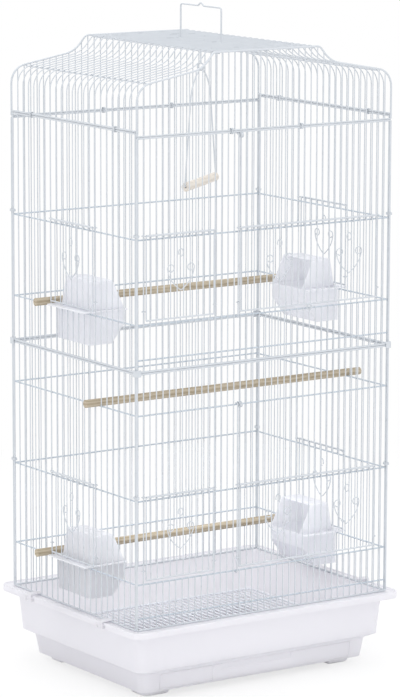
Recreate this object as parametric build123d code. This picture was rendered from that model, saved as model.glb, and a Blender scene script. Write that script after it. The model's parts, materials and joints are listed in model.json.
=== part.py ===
"""Tall wire bird cage on a moulded base: welded wire panels, sliding doors, feeders, perches, swing and tray.

All sizes are millimetres. The origin is on the floor under the middle of the cage, X runs along the
front, Y from front to back and Z up.
"""

from build123d import *
import os
from math import atan2, cos, degrees, hypot, radians, sin, tan

os.makedirs("parts", exist_ok=True)

# Wire body
body_w = 448.0
body_d = 341.0
lower_height = 376.0
upper_height = 342.5
front_gaps = 40
side_gaps = 22
fill_wire = 2.0
frame_wire = 3.0
cross_wire = 2.4

# Heights of the cross wires above the foot of each section; only the front has a toe wire
toe_rise = 18.0
sill_rise = 68.0
lintel_rise = 190.0
brace_rise = 314.0

# Doors
door_gap = 0.4
door_foot_over_sill = 7.0
door_head_over_lintel = 6.0
door_loop_rise = 13.0
loop_height = 2.0
loop_wire = 1.6
loop_clearance = 0.4
door_side_offset = 3.2
rod_shift = 5.4
rod_hook_over = 2.0
guide_columns = {"small": (1, 12), "large": (15, 38), "end": (7, 15)}

# Roof
shoulder_rise = 41.5
shoulder_radius = 27.0
wall_angle = 90.0
slope_angle = 10.0
hollow_radius = 45.0
hollow_angle = 50.0
crest_radius = 10.0
plateau_rise = 106.5
plateau_half = 88.0
gable_drop = 7.0
shoulder_facets = 3
hollow_facets = 2
crest_facets = 1
ridge_wires = (0.0, 42.0, 82.0)
roof_clip_from_centre_front = 5
roof_clip_from_centre_side = 7
clip_length = 6.0

# Moulded base
foot_height = 10.0
base_wall = 2.4
lower_tier_height = 29.0
ledge_height = 7.0
upper_tier_height = 64.0
rim_overhang = (14.0, 20.0)
upper_tier_inset = (2.0, 0.0)
ledge_inset = (7.0, 5.0)
tier_head_inset = (20.0, 19.0)
tier_foot_inset = (25.0, 22.0)
rim_skirt = 7.0
rim_bead = 2.0
tier_corner = 16.0
rim_corner = 20.0
foot_size = (42.0, 37.0)
foot_inset = (38.0, 37.0)
foot_chamfer = 2.0
foot_corner = 14.0

# Slide-out tray
tray_inset = 54.0
tray_clearance = 0.6
tray_wall = 1.8
tray_back_inset = 34.0
fascia_thickness = 3.0
grip_half_width = 62.0
grip_height = 8.0
grip_depth = 1.8
grip_panel_half_width = 78.0
grip_panel_proud = 0.8

# Wire floor that lies on the base ledge
floor_edge_clearance = 1.0
floor_end_clearance = 9.0
floor_seat_clearance = 0.5
floor_cross_count = 3

# Feeders
feeder_width = 86.0
feeder_shift = 5.0
cup_floor_depth = 39.0
cup_depth = 61.0
cup_height = 48.5
cup_slope_height = 29.0
cup_wall = 1.6
flange_thickness = 2.0
flange_out = 9.0
flange_side = 7.0
hood_width = 76.0
hood_height = 42.0
hood_lean = 8.0
hood_roof = 32.0
hood_wall = 1.4
feeder_seat_clearance = 0.3
feeder_wall_clearance = 0.5

# Perches
perch_diameter = 11.5
perch_overhang = 21.0
notch_depth = 2.2
notch_clearance = 0.4
perch_gap_from_centre = 4.5

# Swing
swing_turn = 37.0
swing_apex_rise = 66.0
swing_drop = 168.0
swing_wire = 2.2
swing_dowel_diameter = 13.0
swing_dowel_length = 134.0
swing_pin_depth = 8.0
swing_pin_socket = 2.6
swing_eye_radius = 4.0
swing_eye_gap = 0.8
swing_leg_gap = 3.6
bail_shoulder = (18.0, 8.0)
bail_arc_radius = 58.0
bail_leg_angle = 84.0
bail_arc_facets = 4
bail_apex_half = 4.0

# Folding carry handle
handle_gap_from_centre = 3.5
handle_height = 51.0
handle_wire = 2.6
handle_kink = (7.0, 5.0)
handle_ring_radius = 2.1
handle_ring_wire = 1.8

# Latches that hold the wire body to the base
latch_width = 11.0
latch_gap_from_centre = 6.5
latch_plate = 2.0
latch_pin_radius = 1.5
latch_pin_clearance = 0.25
latch_tail = 1.2
latch_reach_over_frame = 2.0
latch_clearance = 0.3
latch_drop = 5.0
ear_width = 3.0
ear_side_clearance = 0.3

# Corner rings and cleats
ring_wire = 1.6
ring_clearance = 0.1
ring_height = 4.0
cleat_height = 10.0
cleat_leg = 9.0
ring_over_lintel = 6.0

# Derived places
wire_half = (body_w / 2, body_d / 2)
rim_half = (wire_half[0] + rim_overhang[0], wire_half[1] + rim_overhang[1])
upper_tier_half = (wire_half[0] - upper_tier_inset[0], wire_half[1] - upper_tier_inset[1])
ledge_half = (wire_half[0] - ledge_inset[0], wire_half[1] - ledge_inset[1])
tier_head_half = (wire_half[0] - tier_head_inset[0], wire_half[1] - tier_head_inset[1])
tier_foot_half = (wire_half[0] - tier_foot_inset[0], wire_half[1] - tier_foot_inset[1])
foot_outer_half = (wire_half[0] - foot_inset[0], wire_half[1] - foot_inset[1])
tray_half_width = wire_half[0] - tray_inset
tray_back = wire_half[1] - tray_back_inset
floor_top = foot_height + base_wall
tier_top = foot_height + lower_tier_height
tray_foot = floor_top + feeder_seat_clearance
tray_head = tier_top - base_wall - tray_clearance
ledge_top = tier_top + ledge_height
seat_z = ledge_top + upper_tier_height
junction_z = seat_z + lower_height
eaves_z = junction_z + upper_height
gable_foot = eaves_z - gable_drop
plateau_z = eaves_z + plateau_rise
front_plane = body_d / 2 - frame_wire / 2
side_plane = body_w / 2 - frame_wire / 2
side_span = body_d - 2 * frame_wire
wire_inner = fill_wire / 2
door_plane_offset = fill_wire + door_gap
opening_height = lintel_rise - sill_rise


def bar(x0, x1, y0, y1, z0, z1):
    """A straight square bar or plate between two corners."""
    centre = Pos((x0 + x1) / 2, (y0 + y1) / 2, (z0 + z1) / 2)
    return centre * Box(abs(x1 - x0), abs(y1 - y0), abs(z1 - z0))


def joined(pieces):
    """Weld pieces into one solid."""
    return Part() + pieces


def write(name, *shapes):
    """Write the solids of one node."""
    solids = [solid for shape in shapes for solid in shape.solids()]
    export_step(Compound(children=solids), f"parts/{name}.step")


def column(span, gaps, index):
    """Place of a fill wire along a panel, counted from its left frame wire."""
    reach = span - frame_wire
    return -reach / 2 + reach * index / gaps


def front_column(index):
    return column(body_w, front_gaps, index)


def side_column(index):
    return column(side_span, side_gaps, index)


def mitred(points, width):
    """Closed outline of a bent wire of one width that follows the points."""
    normals = []
    for (ax, az), (bx, bz) in zip(points, points[1:]):
        length = hypot(bx - ax, bz - az)
        normals.append(((az - bz) / length, (bx - ax) / length))
    left, right = [], []
    for i, (x, z) in enumerate(points):
        before = normals[max(i - 1, 0)]
        after = normals[min(i, len(normals) - 1)]
        mx, mz = before[0] + after[0], before[1] + after[1]
        scale = width / (mx * mx + mz * mz)
        left.append((x + mx * scale, z + mz * scale))
        right.append((x - mx * scale, z - mz * scale))
    return left + right[::-1]


def bent_wire(points, width, thickness):
    """A wire bent in the XZ plane, as thick in Y as given."""
    outline = mitred(points, width)
    face = Plane.XZ * make_face(Polyline(*outline, close=True))
    return extrude(face, amount=thickness / 2, both=True)


def square_ring(inner_x, inner_y, wire, height):
    """An upright ring of bent wire round a rectangular post, centred on the origin."""
    outer = Box(inner_x + 2 * wire, inner_y + 2 * wire, height)
    return outer - Box(inner_x, inner_y, height + 2)


def octagon_rod(radius, length):
    """A rod along Y with eight flats, centred on the origin; radius is to its corners."""
    return extrude(Plane.XZ * RegularPolygon(radius, 8), amount=length / 2, both=True)


def octagon_ring(inner_radius, wire, thickness):
    """A ring of wire round the Y axis with eight flats."""
    outline = RegularPolygon(inner_radius + wire, 8, major_radius=False)
    outline -= RegularPolygon(inner_radius, 8, major_radius=False)
    return extrude(Plane.XZ * outline, amount=thickness / 2, both=True)


def on_side(shape, side):
    """Turn a shape made for the front of the cage to another side."""
    turns = {"front": 0, "right": 90, "back": 180, "left": -90}
    return Rot(0, 0, turns[side]) * shape


def wire_panel(span, gaps, plane, z0, z1, doorways=()):
    """One welded panel, made for the front: a wire frame filled with upright wires.

    A doorway is a pair of wires that stay whole. The wires between them stop at the sill and start
    again at the lintel.
    """
    half = span / 2
    y0, y1 = -plane - frame_wire / 2, -plane + frame_wire / 2
    pieces = [
        bar(-half, half, y0, y1, z0, z0 + frame_wire),
        bar(-half, half, y0, y1, z1 - frame_wire, z1),
        bar(-half, -half + frame_wire, y0, y1, z0, z1),
        bar(half - frame_wire, half, y0, y1, z0, z1),
    ]
    low, high = z0 + frame_wire / 2, z1 - frame_wire / 2
    sill_top = z0 + sill_rise + cross_wire / 2
    lintel_foot = z0 + lintel_rise - cross_wire / 2
    for index in range(1, gaps):
        x = column(span, gaps, index)
        cut = any(first < index < last for first, last in doorways)
        runs = [(low, sill_top), (lintel_foot, high)] if cut else [(low, high)]
        for start, end in runs:
            pieces.append(
                bar(x - wire_inner, x + wire_inner, -plane - wire_inner, -plane + wire_inner, start, end)
            )
    return joined(pieces)


def cross_bar(span, plane, z):
    """A level wire that lies against the inside of a panel's upright wires, made for the front."""
    half = span / 2 - frame_wire
    y = -plane + wire_inner
    return bar(-half, half, y, y + cross_wire, z - cross_wire / 2, z + cross_wire / 2)


def guide_loop(x, y, z, post):
    """A loop that runs on an upright guide wire."""
    hole = post + 2 * loop_clearance
    return Pos(x, y, z) * square_ring(hole, hole, loop_wire, loop_height)


def door_posts(span, gaps, guides):
    """Where the two guide wires of a doorway stand along the panel."""
    return [column(span, gaps, index) for index in guides]


def sliding_door(span, gaps, plane, z0, guides, rod_x=None):
    """A wire door that slides up in front of its doorway, made for the front.

    Its loops run on the upright wires beside the doorway, or on a separate rod at rod_x.
    """
    first, last = door_posts(span, gaps, guides)
    foot = z0 + sill_rise + door_foot_over_sill
    head = z0 + lintel_rise + door_head_over_lintel
    y_door = -plane - door_plane_offset
    y0, y1 = y_door - wire_inner, y_door + wire_inner
    left_post = first if rod_x is None else rod_x
    left_side, right_side = left_post + door_side_offset, last - door_side_offset
    pieces = [
        bar(left_side, right_side, y0, y1, foot - cross_wire / 2, foot + cross_wire / 2),
        bar(left_side, right_side, y0, y1, head - frame_wire / 2, head + frame_wire / 2),
    ]
    uprights = [column(span, gaps, index) for index in range(guides[0] + 1, guides[1])]
    for x in [left_side, *uprights, right_side]:
        pieces.append(bar(x - wire_inner, x + wire_inner, y0, y1, foot, head))
    left_y = -plane if rod_x is None else y_door
    for z in (foot + door_loop_rise, head):
        pieces.append(guide_loop(left_post, left_y, z, fill_wire))
        pieces.append(guide_loop(last, -plane, z, fill_wire))
    return joined(pieces)


def guide_rod(x, z0, top_z):
    """A rod beside the large doorway, hooked under the sill wire and over a wire at top_z."""
    y = -front_plane - door_plane_offset
    inner_y = -front_plane + wire_inner + cross_wire
    x0, x1 = x - wire_inner, x + wire_inner
    foot = z0 + sill_rise - cross_wire / 2 - fill_wire
    head = top_z + rod_hook_over
    return joined([
        bar(x0, x1, y - wire_inner, y + wire_inner, foot, head),
        bar(x0, x1, y, inner_y, foot, foot + fill_wire),
        bar(x0, x1, y, inner_y, head - fill_wire, head),
    ])


def arc_points(x, z, radius, start, end, facets, bend):
    """Points along an arc that begins at x, z, with headings in degrees above +X.

    bend is +1 where the wire curves up and -1 where it curves down.
    """
    points = []
    for step in range(1, facets + 1):
        heading = radians(start + (end - start) * step / facets)
        first = radians(start)
        dx = bend * radius * (sin(heading) - sin(first))
        dz = bend * radius * (cos(first) - cos(heading))
        points.append((x + dx, z + dz))
    return points


def roof_half_profile():
    """Middle line of a roof wire from the left eaves to the left edge of the flat top."""
    points = [(-side_plane, eaves_z + frame_wire / 2), (-side_plane, eaves_z + shoulder_rise)]
    points += arc_points(*points[-1], shoulder_radius, wall_angle, slope_angle, shoulder_facets, -1)
    # The slope runs on until the hollow, the steep run and the crest end at the flat top.
    rise = tan(radians(slope_angle))
    crest_x = -plateau_half - crest_radius * sin(radians(hollow_angle))
    crest_z = plateau_z - crest_radius * (1 - cos(radians(hollow_angle)))
    hollow_dx = hollow_radius * (sin(radians(hollow_angle)) - sin(radians(slope_angle)))
    hollow_dz = hollow_radius * (cos(radians(slope_angle)) - cos(radians(hollow_angle)))
    x, z = points[-1]
    steep = tan(radians(hollow_angle))
    # Crossing of the slope line with the steep line carried back through the hollow.
    slope_end = (crest_z - hollow_dz - z + rise * x - steep * (crest_x - hollow_dx)) / (rise - steep)
    points.append((slope_end, z + rise * (slope_end - x)))
    points += arc_points(*points[-1], hollow_radius, slope_angle, hollow_angle, hollow_facets, 1)
    points.append((crest_x, crest_z))
    points += arc_points(crest_x, crest_z, crest_radius, hollow_angle, 0, crest_facets, -1)
    return points


roof_left = roof_half_profile()
roof_line = roof_left + [(-x, z) for x, z in reversed(roof_left)]
shoulder_point = roof_left[1 + shoulder_facets]


def roof_height(x):
    """Height of the roof's middle line at x."""
    for (ax, az), (bx, bz) in zip(roof_line, roof_line[1:]):
        if ax <= x <= bx and bx > ax:
            return az + (bz - az) * (x - ax) / (bx - ax)
    return roof_line[0][1]


def make_base():
    """The moulded base with its two tiers, ledge, rim and the slot for the tray."""
    def slab(z0, half0, z1, half1, corner, inset=0.0):
        low = Pos(0, 0, z0) * RectangleRounded(2 * (half0[0] - inset), 2 * (half0[1] - inset), corner)
        high = Pos(0, 0, z1) * RectangleRounded(2 * (half1[0] - inset), 2 * (half1[1] - inset), corner)
        return loft([low.face(), high.face()], ruled=True)

    outer = slab(foot_height, tier_foot_half, tier_top, tier_head_half, tier_corner)
    outer += slab(tier_top, tier_head_half, ledge_top, ledge_half, tier_corner)
    outer += slab(ledge_top, ledge_half, seat_z, upper_tier_half, tier_corner)
    outer += slab(seat_z - base_wall, rim_half, seat_z, rim_half, rim_corner)
    inner_corner = tier_corner - base_wall
    lift = base_wall
    inner = slab(floor_top, tier_foot_half, tier_top + lift, tier_head_half, inner_corner, base_wall)
    inner += slab(tier_top + lift, tier_head_half, ledge_top + lift, ledge_half, inner_corner, base_wall)
    inner += slab(ledge_top + lift, ledge_half, seat_z + 1, upper_tier_half, inner_corner, base_wall)
    skirt_foot, bead_top = seat_z - rim_skirt, seat_z + rim_bead
    rim = slab(skirt_foot, rim_half, bead_top, rim_half, rim_corner)
    rim -= slab(skirt_foot - 1, rim_half, bead_top + 1, rim_half, rim_corner - base_wall, base_wall)
    base = outer - inner + rim
    slot_half = tray_half_width + tray_clearance
    front = -tier_head_half[1]
    base -= bar(-slot_half, slot_half, front - 1, front + 5 * base_wall, floor_top, tier_top - base_wall)
    for side in (-1, 1):
        for y in latch_places():
            base += latch_ears(side, y)
    return base


def latch_places():
    """Where the latches stand along each end of the cage, in gaps between two upright wires."""
    middle = side_gaps / 2
    return [side_column(middle - latch_gap_from_centre), side_column(middle + latch_gap_from_centre)]


latch_axis_x = rim_half[0] + latch_pin_radius + latch_clearance
latch_axis_z = seat_z + rim_bead - latch_drop


def latch_ears(side, y):
    """Two ears outside the rim that carry one latch."""
    x0 = side * (rim_half[0] - base_wall / 2)
    x1 = side * (latch_axis_x + latch_pin_radius + 1)
    ears = Part()
    half = latch_width / 2 + ear_side_clearance
    for inner, outer in ((-half - ear_width, -half), (half, half + ear_width)):
        ears += bar(x0, x1, y + inner, y + outer, latch_axis_z - 3, latch_axis_z + 3)
    reach = 2 * (half + ear_width) + 2
    return ears - Pos(side * latch_axis_x, y, latch_axis_z) * octagon_rod(latch_pin_radius + latch_pin_clearance, reach)


def make_latch(side, y):
    """A latch that swings on its pin and hooks over the wire body's bottom frame."""
    x_in = side_plane + frame_wire / 2 - latch_reach_over_frame
    top = seat_z + frame_wire + latch_clearance
    outer = latch_axis_x + latch_pin_radius + 0.5
    y0, y1 = y - latch_width / 2, y + latch_width / 2
    plate = bar(side * (latch_axis_x - 0.6), side * outer, y0, y1, latch_axis_z - latch_tail, top + latch_plate)
    arm = bar(side * x_in, side * outer, y0, y1, top, top + latch_plate)
    pin_length = latch_width + 2 * (ear_side_clearance + ear_width)
    pin = Pos(side * latch_axis_x, y, latch_axis_z) * octagon_rod(latch_pin_radius, pin_length)
    return joined([plate, arm, pin])


def make_feet():
    """Four low feet, each rounded at its outer corner."""
    feet = []
    for sx in (-1, 1):
        for sy in (-1, 1):
            x = sx * (foot_outer_half[0] - foot_size[0] / 2)
            y = sy * (foot_outer_half[1] - foot_size[1] / 2)
            foot = Pos(x, y, foot_height / 2) * Box(*foot_size, foot_height)
            corner = foot.edges().filter_by(Axis.Z).sort_by(lambda e: sx * e.center().X + sy * e.center().Y)[-1]
            foot = fillet(corner, foot_corner)
            feet.append(chamfer(foot.faces().sort_by(Axis.Z)[0].edges(), foot_chamfer))
    return feet


def tray_front(z):
    """Depth of the tray's sloped front face at height z, flush with the lower tier."""
    lean = (tier_head_half[1] - tier_foot_half[1]) / lower_tier_height
    return -tier_foot_half[1] - lean * (z - foot_height)


def tray_slope(half_width, proud, thickness):
    """A plate that leans with the tray's front, standing proud of it by a given amount."""
    points = [
        (tray_front(tray_foot) - proud, tray_foot), (tray_front(tray_head) - proud, tray_head),
        (tray_front(tray_head) + thickness, tray_head), (tray_front(tray_foot) + thickness, tray_foot),
    ]
    face = Plane.YZ * make_face(Polyline(*points, close=True))
    return extrude(face, amount=half_width, both=True)


def make_tray():
    """The dirt tray's floor and the sloped front that closes the slot in the base."""
    floor = bar(
        -tray_half_width, tray_half_width, tray_front(tray_foot) + 1, tray_back,
        tray_foot, tray_foot + tray_wall,
    )
    tray = floor + tray_slope(tray_half_width, 0, fascia_thickness)
    tray += tray_slope(grip_panel_half_width, grip_panel_proud, fascia_thickness)
    y_top = tray_front(tray_head) - grip_panel_proud
    return tray - bar(
        -grip_half_width, grip_half_width, y_top - 2, y_top + grip_depth,
        tray_head - grip_height, tray_head + 1,
    )


def make_tray_surround():
    """The three upright walls that stand on the dirt tray's floor behind its front."""
    low, y_front = tray_foot + tray_wall, tray_front(tray_head)
    walls = bar(-tray_half_width, tray_half_width, y_front, tray_back, low, tray_head)
    walls -= bar(
        -tray_half_width + tray_wall, tray_half_width - tray_wall, y_front - 1, tray_back - tray_wall,
        low - 1, tray_head + 1,
    )
    return walls - tray_slope(tray_half_width + 1, fascia_thickness, fascia_thickness)


def make_wire_floor():
    """The loose wire floor above the tray, lying on the ledge inside the base."""
    half_x = ledge_half[0] - base_wall - floor_end_clearance
    half_y = ledge_half[1] - base_wall - floor_edge_clearance
    z0 = ledge_top + base_wall - ledge_seat_drop() + floor_seat_clearance
    z1 = z0 + frame_wire
    pieces = [
        bar(-half_x, half_x, -half_y, -half_y + frame_wire, z0, z1),
        bar(-half_x, half_x, half_y - frame_wire, half_y, z0, z1),
        bar(-half_x, -half_x + frame_wire, -half_y, half_y, z0, z1),
        bar(half_x - frame_wire, half_x, -half_y, half_y, z0, z1),
    ]
    reach = 2 * half_x - frame_wire
    middle = (z0 + z1) / 2
    for index in range(1, front_gaps):
        x = -reach / 2 + reach * index / front_gaps
        y = half_y - frame_wire / 2
        pieces.append(bar(x - wire_inner, x + wire_inner, -y, y, middle - wire_inner, middle + wire_inner))
    frame = joined(pieces)
    ties = []
    for index in range(floor_cross_count):
        y = -half_y + 2 * half_y * (index + 1) / (floor_cross_count + 1)
        ties.append(bar(
            -half_x + frame_wire, half_x - frame_wire, y - cross_wire / 2, y + cross_wire / 2,
            middle - wire_inner - cross_wire, middle - wire_inner,
        ))
    return [frame, *ties]


def ledge_seat_drop():
    """How far below the head of the sloped ledge the wire floor's edge meets it."""
    run = ledge_half[1] - tier_head_half[1]
    return ledge_height * floor_edge_clearance / run


def make_feeder_cup(z0):
    """A seed cup, made for the left end: its lip lies on the sill wire and shows outside the cage."""
    inner_x = -side_plane + wire_inner + cross_wire + feeder_wall_clearance
    seat = z0 + sill_rise + cross_wire / 2 + feeder_seat_clearance
    foot = seat - cup_height

    def body(inset, top, floor):
        points = [
            (inner_x + inset, floor), (inner_x + cup_floor_depth - inset, floor),
            (inner_x + cup_depth - inset, foot + cup_slope_height), (inner_x + cup_depth - inset, top),
            (inner_x + inset, top),
        ]
        face = Plane.XZ * make_face(Polyline(*points, close=True))
        return Pos(0, feeder_shift, 0) * extrude(face, amount=feeder_width / 2 - inset, both=True)

    lip_top = seat + flange_thickness
    outer_x = -body_w / 2 - flange_out
    half = feeder_width / 2 + flange_side
    lip = bar(outer_x, inner_x + cup_depth, feeder_shift - half, feeder_shift + half, seat, lip_top)
    cup = body(0, seat, foot) + lip
    return cup - body(cup_wall, lip_top + 1, foot + cup_wall)


def make_feeder_hood(z0):
    """The hood over a seed cup, made for the left end, open towards the inside of the cage."""
    inner_x = -side_plane + wire_inner + cross_wire + feeder_wall_clearance
    low = z0 + sill_rise + cross_wire / 2 + feeder_seat_clearance + flange_thickness
    top = low + hood_height
    half = hood_width / 2
    outer = [
        (inner_x, low), (inner_x + cup_depth - 1, low), (inner_x + hood_lean + hood_roof, top),
        (inner_x + hood_lean, top),
    ]
    inner = [
        (inner_x + hood_wall, low - 1), (inner_x + cup_depth + 2, low - 1),
        (inner_x + cup_depth + 2, top - hood_wall), (inner_x + hood_lean + hood_wall, top - hood_wall),
        (inner_x + hood_wall, low),
    ]
    shell = extrude(Plane.XZ * make_face(Polyline(*outer, close=True)), amount=half, both=True)
    hollow = Plane.XZ * make_face(Polyline(*inner, close=True))
    return shell - extrude(hollow, amount=half - hood_wall, both=True)


def make_perch(rest_z, y):
    """A wooden perch that passes between two upright wires at each end, notched on its cross wire."""
    length = body_w + 2 * perch_overhang
    z = rest_z + cross_wire / 2 + perch_diameter / 2 - notch_depth + notch_clearance
    perch = Pos(0, y, z) * Rot(0, 90, 0) * Cylinder(perch_diameter / 2, length)
    wire_x = side_plane - wire_inner - cross_wire / 2
    notch_half = cross_wire / 2 + notch_clearance
    for side in (-1, 1):
        x = side * wire_x
        perch -= bar(
            x - notch_half, x + notch_half, y - perch_diameter, y + perch_diameter,
            z - perch_diameter, z - perch_diameter / 2 + notch_depth,
        )
    return perch


def make_swing_bail():
    """The wire of the swing, bent in its own plane, with pins that run into the dowel's ends."""
    apex_z = eaves_z + swing_apex_rise
    pin_x = swing_dowel_length / 2 + swing_leg_gap
    lean_x, lean_z = bail_shoulder
    start = -degrees(atan2(lean_z, lean_x - bail_apex_half))
    points = [(0, apex_z), (bail_apex_half, apex_z), (lean_x, apex_z - lean_z)]
    points += arc_points(*points[-1], bail_arc_radius, start, -bail_leg_angle, bail_arc_facets, -1)
    points += [(pin_x, apex_z - swing_drop), (pin_x - swing_leg_gap - swing_pin_depth, apex_z - swing_drop)]
    right = bent_wire(points, swing_wire, swing_wire)
    return Rot(0, 0, swing_turn) * (right + mirror(right, about=Plane.YZ))


def make_swing_dowel():
    z = eaves_z + swing_apex_rise - swing_drop
    dowel = Rot(0, 90, 0) * Cylinder(swing_dowel_diameter / 2, swing_dowel_length)
    for side in (-1, 1):
        depth = swing_pin_depth + 2
        x = side * (swing_dowel_length / 2 - depth / 2)
        dowel -= Pos(x, 0, 0) * Box(depth, swing_pin_socket, swing_pin_socket)
    return Rot(0, 0, swing_turn) * Pos(0, 0, z) * dowel


def make_swing_hanger():
    """The hook under the roof whose eye carries the swing."""
    apex_z = eaves_z + swing_apex_rise
    ring_z = apex_z - swing_wire / 2 - swing_eye_gap + swing_eye_radius
    ring = Pos(0, 0, ring_z) * Rot(0, 0, 90) * octagon_ring(swing_eye_radius, swing_wire, swing_wire)
    top = plateau_z - wire_inner - cross_wire
    stem = bar(
        -swing_wire / 2, swing_wire / 2, -swing_wire / 2, swing_wire / 2,
        ring_z + swing_eye_radius + swing_wire / 2, top,
    )
    return Rot(0, 0, swing_turn) * (ring + stem)


def make_handle():
    """The carry handle: a wire bail whose rings turn on the middle ridge wire."""
    axis_z = plateau_z - wire_inner - cross_wire / 2
    half = side_column(side_gaps / 2 + handle_gap_from_centre)
    top = plateau_z + handle_height
    kink_half, kink_rise = handle_kink
    foot = axis_z + handle_ring_radius + handle_ring_wire / 2
    points = [(-half, foot), (-half, top), (-kink_half, top), (0, top + kink_rise), (kink_half, top),
              (half, top), (half, foot)]
    bail = Rot(0, 0, 90) * bent_wire(points, handle_wire, handle_wire)
    for y in (-half, half):
        ring = octagon_ring(handle_ring_radius, handle_ring_wire, handle_wire)
        bail += Pos(0, y, axis_z) * ring
    return bail


def make_roof_wires():
    """The wires that run over the roof from end to end, welded to a frame wire at each eaves."""
    y = side_span / 2
    pieces = []
    for side in (-1, 1):
        x0, x1 = side * (side_plane - frame_wire / 2), side * (side_plane + frame_wire / 2)
        pieces.append(bar(x0, x1, -y, y, eaves_z, eaves_z + frame_wire))
    wire = bent_wire(roof_line, fill_wire, fill_wire)
    pieces += [Pos(0, side_column(index), 0) * wire for index in range(1, side_gaps)]
    return joined(pieces)


def make_gable():
    """The flat front or back of the roof, made for the front."""
    foot_z = gable_foot + frame_wire / 2
    line = [(-side_plane, foot_z), *roof_line[1:-1], (side_plane, foot_z)]
    edge = bent_wire(line, frame_wire, frame_wire)
    half = body_w / 2
    foot = bar(-half, half, -frame_wire / 2, frame_wire / 2, gable_foot, gable_foot + frame_wire)
    pieces = [edge, foot]
    for index in range(1, front_gaps):
        x = front_column(index)
        pieces.append(bar(
            x - wire_inner, x + wire_inner, -wire_inner, wire_inner,
            foot_z, roof_height(x),
        ))
    return Pos(0, -front_plane, 0) * joined(pieces)


def make_roof_cross_wires():
    """The level wires that run front to back under the roof wires."""
    length = side_span
    wires = []
    drop = wire_inner + cross_wire / 2
    for x in sorted({side * place for place in ridge_wires for side in (-1, 1)}):
        wires.append(Pos(x, 0, plateau_z - drop) * Box(cross_wire, length, cross_wire))
    slope = radians(slope_angle)
    along = cross_wire
    for side in (-1, 1):
        x = shoulder_point[0] + along * cos(slope) + drop * sin(slope)
        z = shoulder_point[1] + along * sin(slope) - drop * cos(slope)
        wires.append(Pos(side * x, 0, z) * Rot(0, -side * slope_angle, 0) * Box(cross_wire, length, cross_wire))
    return wires


def make_corner_rings():
    """Rings round each pair of corner frame wires, above the lintels."""
    inner_x, inner_y = frame_wire + 2 * ring_clearance, 2 * frame_wire + 2 * ring_clearance
    ring = square_ring(inner_x, inner_y, ring_wire, ring_height)
    rings = []
    for z in (seat_z, junction_z):
        for sx in (-1, 1):
            for sy in (-1, 1):
                place = Pos(sx * side_plane, sy * (body_d / 2 - frame_wire), z + lintel_rise + ring_over_lintel)
                rings.append(place * ring)
    return rings


def make_corner_cleats():
    """Bent plates outside the corners that tie the lower and upper walls together."""
    cleats = []
    for sx in (-1, 1):
        for sy in (-1, 1):
            x0, y0 = body_w / 2 + ring_clearance, body_d / 2 + ring_clearance
            x1, y1 = x0 + ring_wire, y0 + ring_wire
            low, high = junction_z - cleat_height / 2, junction_z + cleat_height / 2
            cleats.append(joined([
                bar(sx * x0, sx * x1, sy * (y1 - cleat_leg), sy * y1, low, high),
                bar(sx * (x1 - cleat_leg), sx * x1, sy * y0, sy * y1, low, high),
            ]))
    return cleats


def make_roof_clips():
    """Wire clips that tie the roof's bottom frame to the top frame of the walls."""
    inner = frame_wire + 2 * ring_clearance
    tall = 2 * frame_wire + 2 * ring_clearance
    ring = Rot(0, 90, 0) * square_ring(tall, inner, ring_wire, clip_length)
    clips = []
    for side, plane, gaps, span, offset in (
        ("front", front_plane, front_gaps, body_w, roof_clip_from_centre_front),
        ("back", front_plane, front_gaps, body_w, roof_clip_from_centre_front),
        ("left", side_plane, side_gaps, side_span, roof_clip_from_centre_side),
        ("right", side_plane, side_gaps, side_span, roof_clip_from_centre_side),
    ):
        for index in (gaps / 2 - offset - 0.5, gaps / 2 + offset + 0.5):
            x = column(span, gaps, index)
            z = gable_foot if side in ("front", "back") else eaves_z
            clips.append(on_side(Pos(x, -plane, z) * ring, side))
    return clips


# Walls, section by section
sections = {
    "lower": (seat_z, junction_z, (sill_rise, lintel_rise, brace_rise)),
    "upper": (junction_z, eaves_z, (sill_rise, lintel_rise)),
}
front_doorways = (guide_columns["small"], guide_columns["large"])
rod_x = front_column(guide_columns["large"][0]) + rod_shift
rods = []
for section, (z0, z1, rises) in sections.items():
    front_top = z1 if section == "lower" else gable_foot
    write(f"{section}_front_panel", wire_panel(body_w, front_gaps, front_plane, z0, front_top, front_doorways))
    write(f"{section}_back_panel", on_side(wire_panel(body_w, front_gaps, front_plane, z0, front_top), "back"))
    end_panel = wire_panel(side_span, side_gaps, side_plane, z0, z1, (guide_columns["end"],))
    write(f"{section}_left_panel", on_side(end_panel, "left"))
    write(f"{section}_right_panel", on_side(end_panel, "right"))
    level_wires = []
    for rise in rises:
        for side in ("front", "back"):
            level_wires.append(on_side(cross_bar(body_w, front_plane, z0 + rise), side))
        for side in ("left", "right"):
            level_wires.append(on_side(cross_bar(side_span, side_plane, z0 + rise), side))
    level_wires.append(cross_bar(body_w, front_plane, z0 + toe_rise))
    write(f"{section}_cross_wires", *level_wires)
    small = sliding_door(body_w, front_gaps, front_plane, z0, guide_columns["small"])
    write(f"{section}_small_door", small)
    large = sliding_door(body_w, front_gaps, front_plane, z0, guide_columns["large"], rod_x)
    write(f"{section}_large_door", large)
    end_door = sliding_door(side_span, side_gaps, side_plane, z0, guide_columns["end"])
    write(f"{section}_left_door", on_side(end_door, "left"))
    write(f"{section}_right_door", on_side(end_door, "right"))
    rod_top = z0 + brace_rise + cross_wire / 2 if section == "lower" else front_top - frame_wire - rod_hook_over
    rods.append(guide_rod(rod_x, z0, rod_top))
    cup, hood = make_feeder_cup(z0), make_feeder_hood(z0)
    for side, turn in (("left", 0), ("right", 180)):
        write(f"{section}_{side}_cup", Rot(0, 0, turn) * cup)
        write(f"{section}_{side}_hood", Rot(0, 0, turn) * hood)
write("guide_rods", *rods)
write("corner_rings", *make_corner_rings())
write("corner_cleats", *make_corner_cleats())

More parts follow.
